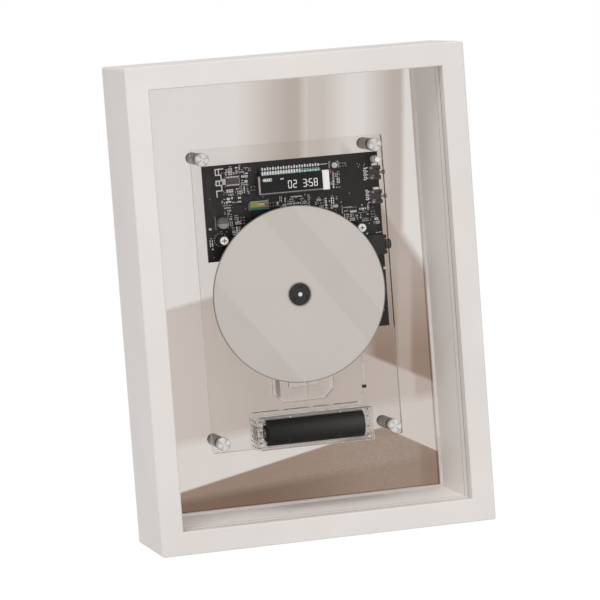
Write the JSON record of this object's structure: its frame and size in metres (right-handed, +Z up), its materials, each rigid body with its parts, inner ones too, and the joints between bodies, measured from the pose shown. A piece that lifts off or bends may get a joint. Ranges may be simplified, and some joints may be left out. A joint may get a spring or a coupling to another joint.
{
  "type": "wall mounted cd player",
  "caption": "Deep white picture frame with a clear back, carrying a disc player on a clear panel: disc, hub, circuit board, display and battery holder.",
  "frame": {"origin": "centre of the outer box in X and Y, at the frame's bottom edge", "axes": "+X to the viewer's right, +Y from the front into the wall, +Z up"},
  "size_m": [0.232, 0.072, 0.324],
  "materials": {
    "frame_paint": "satin off-white paint",
    "clear_acrylic": "polished clear",
    "zinc_steel": "bright zinc",
    "satin_steel": "satin turned",
    "bright_aluminium": "bright turned",
    "motor_case": "plated",
    "circuit_board": "black solder mask",
    "white_plastic": "moulded",
    "display_glass": "black glass",
    "grey_plastic": "moulded",
    "chip_plastic": "moulded",
    "chip_ceramic": "ceramic",
    "capacitor_can": "satin",
    "black_plastic": "moulded",
    "smoky_plastic": "translucent",
    "lever_plastic": "moulded",
    "ribbon_film": "film",
    "lead_insulation": "insulated wire",
    "rubber": "plain",
    "shaft_steel": "polished",
    "printed_disc": "matt print on polycarbonate",
    "lens": "coated",
    "gear_plastic": "moulded",
    "gear_brass": "turned",
    "cell_wrap": "shrink sleeve"
  },
  "bodies": {
    "frame": {"rail_top": "frame_paint", "rail_bottom": "frame_paint", "rail_left": "frame_paint", "rail_right": "frame_paint", "liner_top": "frame_paint", "liner_bottom": "frame_paint", "liner_left": "frame_paint", "liner_right": "frame_paint", "back_ring": "frame_paint", "back_pane": "clear_acrylic", "ring_screws": "zinc_steel", "hanger_plates": "zinc_steel", "hanger_screws": "zinc_steel", "post_barrels": "satin_steel", "post_caps": "bright_aluminium", "post_screws": "zinc_steel", "player_panel": "clear_acrylic", "circuit_board": "circuit_board", "board_supports": "white_plastic", "board_screws": "zinc_steel", "display_glass": "display_glass", "display_backlight": "white_plastic", "display_bezel": "grey_plastic", "display_pins": "zinc_steel", "main_chip": "chip_plastic", "small_chips": "chip_plastic", "chip_parts": "chip_ceramic", "crystal": "zinc_steel", "large_capacitor": "capacitor_can", "headphone_socket": "black_plastic", "edge_lamp": "white_plastic", "switch_bodies": "smoky_plastic", "ribbon_connectors": "grey_plastic", "pickup_ribbon": "ribbon_film", "wire_fittings": "grey_plastic", "battery_wires": "lead_insulation", "mech_housing": "clear_acrylic", "mech_dampers": "rubber", "mech_screws": "zinc_steel", "spindle_motor": "motor_case", "small_screws": "zinc_steel", "guide_rods": "satin_steel", "sled_motor": "motor_case", "battery_holder": "clear_acrylic", "battery_contacts": "zinc_steel", "battery_spring": "zinc_steel"},
    "rotor": {"turntable_hub": "black_plastic", "motor_shaft": "shaft_steel"},
    "pawl_1": {"hub_pawl_1": "black_plastic"},
    "pawl_2": {"hub_pawl_2": "black_plastic"},
    "pawl_3": {"hub_pawl_3": "black_plastic"},
    "disc": {"disc": "printed_disc"},
    "sled": {"pickup_carriage": "black_plastic"},
    "lens": {"pickup_lens": "lens"},
    "drive_gear": {"drive_gear": "gear_plastic"},
    "motor_pinion": {"motor_pinion": "gear_brass"},
    "upper_lever": {"upper_lever": "lever_plastic"},
    "lower_lever": {"lower_lever": "lever_plastic"},
    "cell": {"battery_cell": "cell_wrap"}
  },
  "joints": [
    {"name": "disc_spin", "type": "hinge", "parent": "frame", "child": "rotor", "pos_m": [0, 0.005, 0.162], "axis": [0, 1, 0], "continuous": true},
    {"name": "pawl_1_slide", "type": "slide", "parent": "rotor", "child": "pawl_1", "axis": [0, 0, 1], "range_m": [-0.0007, 0], "stiffness_N_per_m": 500, "springref_m": 0.001},
    {"name": "pawl_2_slide", "type": "slide", "parent": "rotor", "child": "pawl_2", "axis": [-0.866, 0, -0.5], "range_m": [-0.0007, 0], "stiffness_N_per_m": 500, "springref_m": 0.001},
    {"name": "pawl_3_slide", "type": "slide", "parent": "rotor", "child": "pawl_3", "axis": [0.866, 0, -0.5], "range_m": [-0.0007, 0], "stiffness_N_per_m": 500, "springref_m": 0.001},
    {"name": "disc_lift", "type": "slide", "parent": "rotor", "child": "disc", "axis": [0, -1, 0], "range_m": [0, 0.03]},
    {"name": "sled_slide", "type": "slide", "parent": "frame", "child": "sled", "axis": [0, 0, -1], "range_m": [0, 0.034]},
    {"name": "lens_focus", "type": "slide", "parent": "sled", "child": "lens", "axis": [0, -1, 0], "range_m": [-0.0005, 0.0005], "stiffness_N_per_m": 100},
    {"name": "drive_gear_turn", "type": "hinge", "parent": "frame", "child": "drive_gear", "pos_m": [0.0167, 0.016, 0.129], "axis": [0, 1, 0], "range_deg": [-565, 5]},
    {"name": "motor_pinion_turn", "type": "hinge", "parent": "frame", "child": "motor_pinion", "pos_m": [0.0272, 0.016, 0.129], "axis": [0, 1, 0], "range_deg": [-5, 1790]},
    {"name": "upper_switch", "type": "hinge", "parent": "frame", "child": "upper_lever", "pos_m": [0.062, 0.0128, 0.2383], "axis": [0, 1, 0], "range_deg": [-12, 12], "stiffness_Nm_per_rad": 0.02},
    {"name": "lower_switch", "type": "hinge", "parent": "frame", "child": "lower_lever", "pos_m": [0.062, 0.0128, 0.2219], "axis": [0, 1, 0], "range_deg": [-12, 12], "stiffness_Nm_per_rad": 0.02},
    {"name": "cell_lift", "type": "slide", "parent": "frame", "child": "cell", "axis": [0, -1, 0], "range_m": [0, 0.03]}
  ],
  "couplings": [
    {"joint": "drive_gear_turn", "follows": "sled_slide", "rad_per_m": -285.71},
    {"joint": "motor_pinion_turn", "follows": "sled_slide", "rad_per_m": 914.29}
  ]
}
